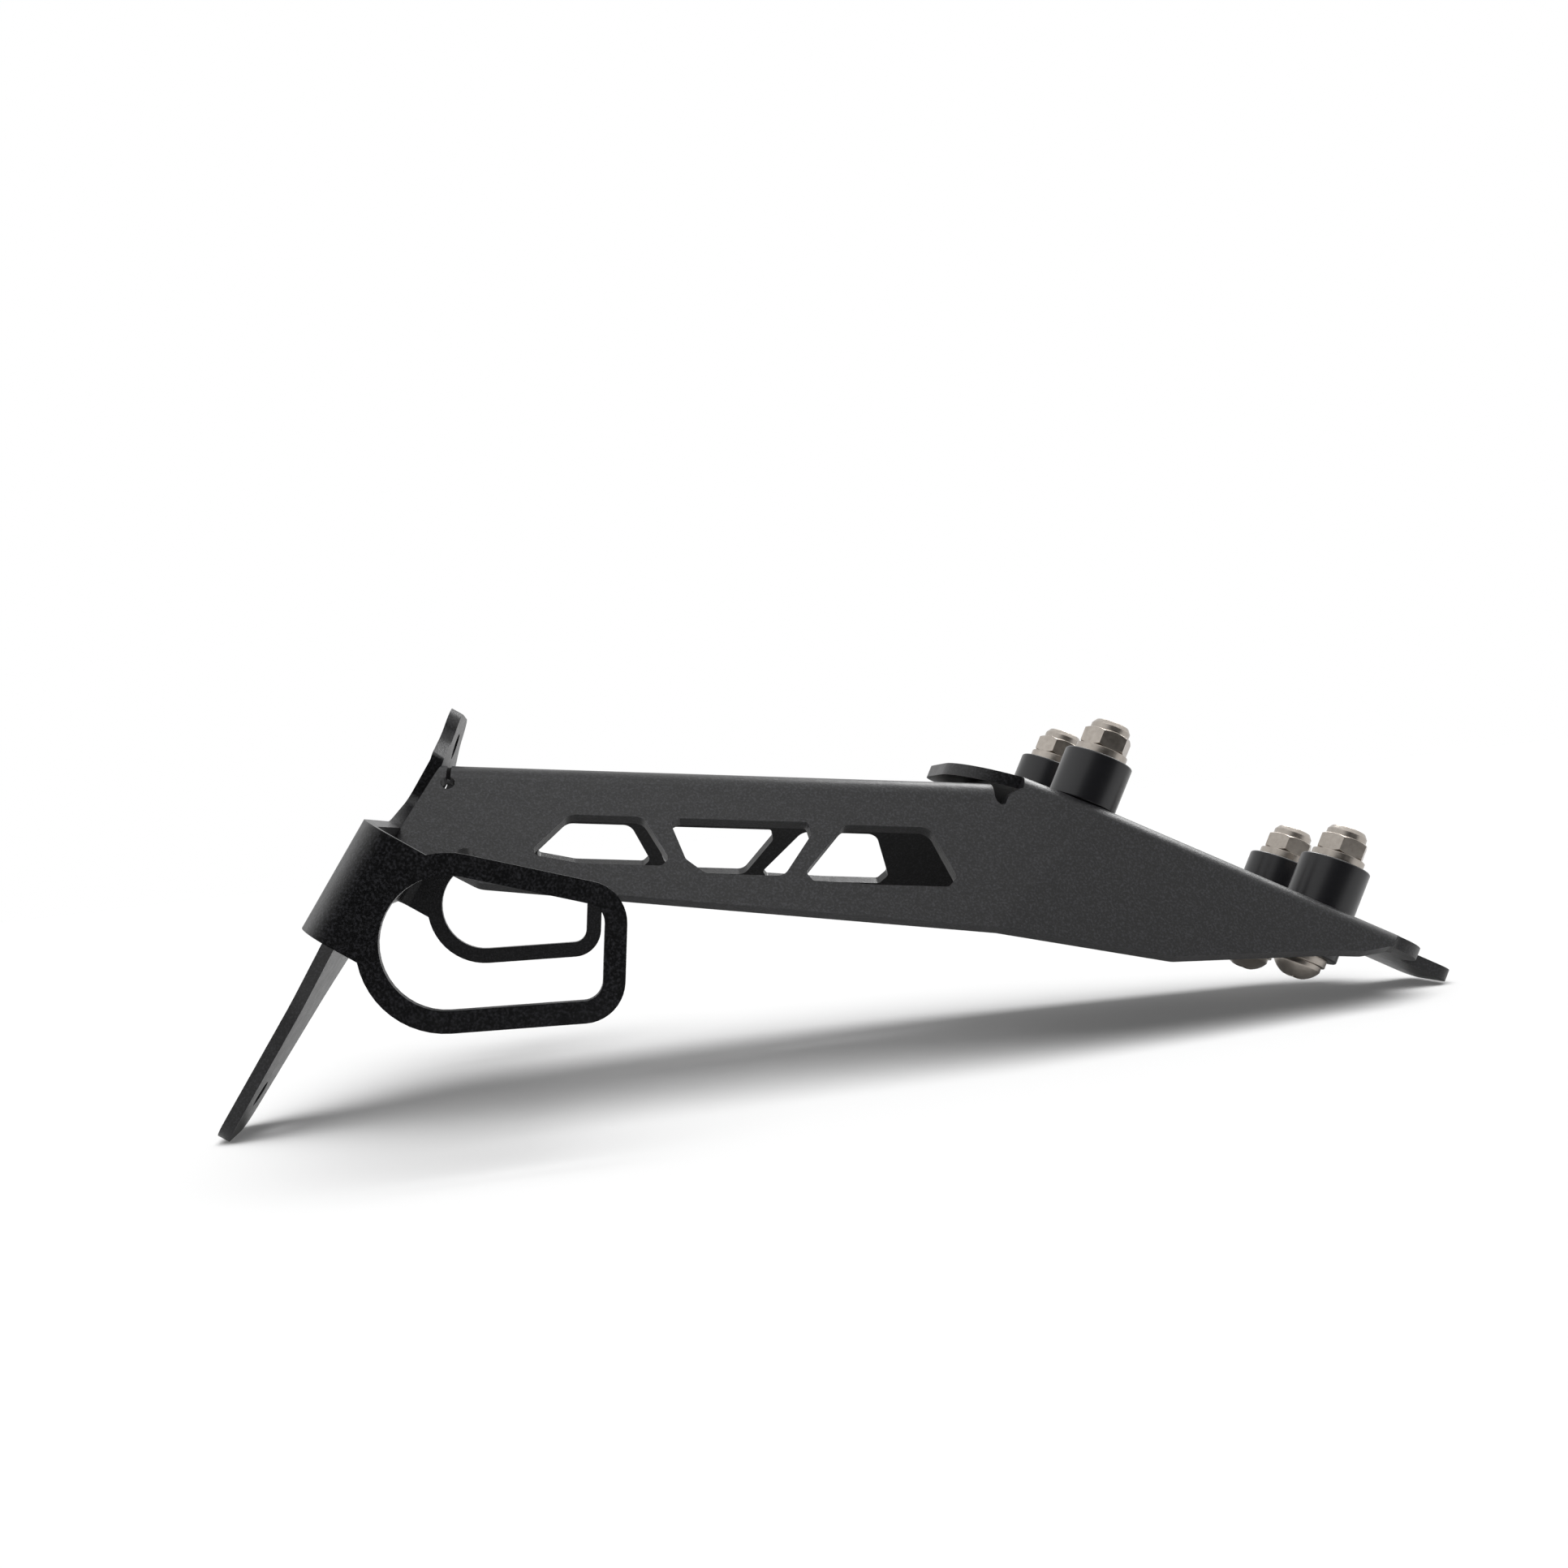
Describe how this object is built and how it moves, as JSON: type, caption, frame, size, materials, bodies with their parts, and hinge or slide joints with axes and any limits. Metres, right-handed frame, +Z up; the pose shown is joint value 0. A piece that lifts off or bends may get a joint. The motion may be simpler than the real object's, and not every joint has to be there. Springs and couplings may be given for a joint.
{
  "type": "license plate holder",
  "caption": "Folded black sheet bracket with a windowed channel arm, sloped bolted mounting plate, leaning rear plate with ear and leg, and D-shaped lamp loops.",
  "frame": {"origin": "on the mounting plate's top face, on the plane of symmetry, midway between the four bolts", "axes": "+X towards the front of the bike along the level rear web, +Z up, Y across; the mounting plate falls 21.1 degrees towards +X"},
  "size_m": [0.302, 0.165, 0.1064],
  "materials": {
    "powder_coat": "satin fine-texture powder coat",
    "black_spacer": "black anodised, turned",
    "stainless": "plain stainless",
    "nylon": "natural nylon"
  },
  "bodies": {
    "root": {"bracket": "powder_coat", "spacer_rear_near": "black_spacer", "lower_spacer_rear_near": "black_spacer", "washer_top_rear_near": "stainless", "washer_bottom_rear_near": "stainless", "bolt_rear_near": "stainless", "nut_rear_near": "stainless", "insert_rear_near": "nylon", "spacer_rear_far": "black_spacer", "lower_spacer_rear_far": "black_spacer", "washer_top_rear_far": "stainless", "washer_bottom_rear_far": "stainless", "bolt_rear_far": "stainless", "nut_rear_far": "stainless", "insert_rear_far": "nylon", "spacer_front_near": "black_spacer", "lower_spacer_front_near": "black_spacer", "washer_top_front_near": "stainless", "washer_bottom_front_near": "stainless", "bolt_front_near": "stainless", "nut_front_near": "stainless", "insert_front_near": "nylon", "spacer_front_far": "black_spacer", "lower_spacer_front_far": "black_spacer", "washer_top_front_far": "stainless", "washer_bottom_front_far": "stainless", "bolt_front_far": "stainless", "nut_front_far": "stainless", "insert_front_far": "nylon"}
  },
  "joints": []
}
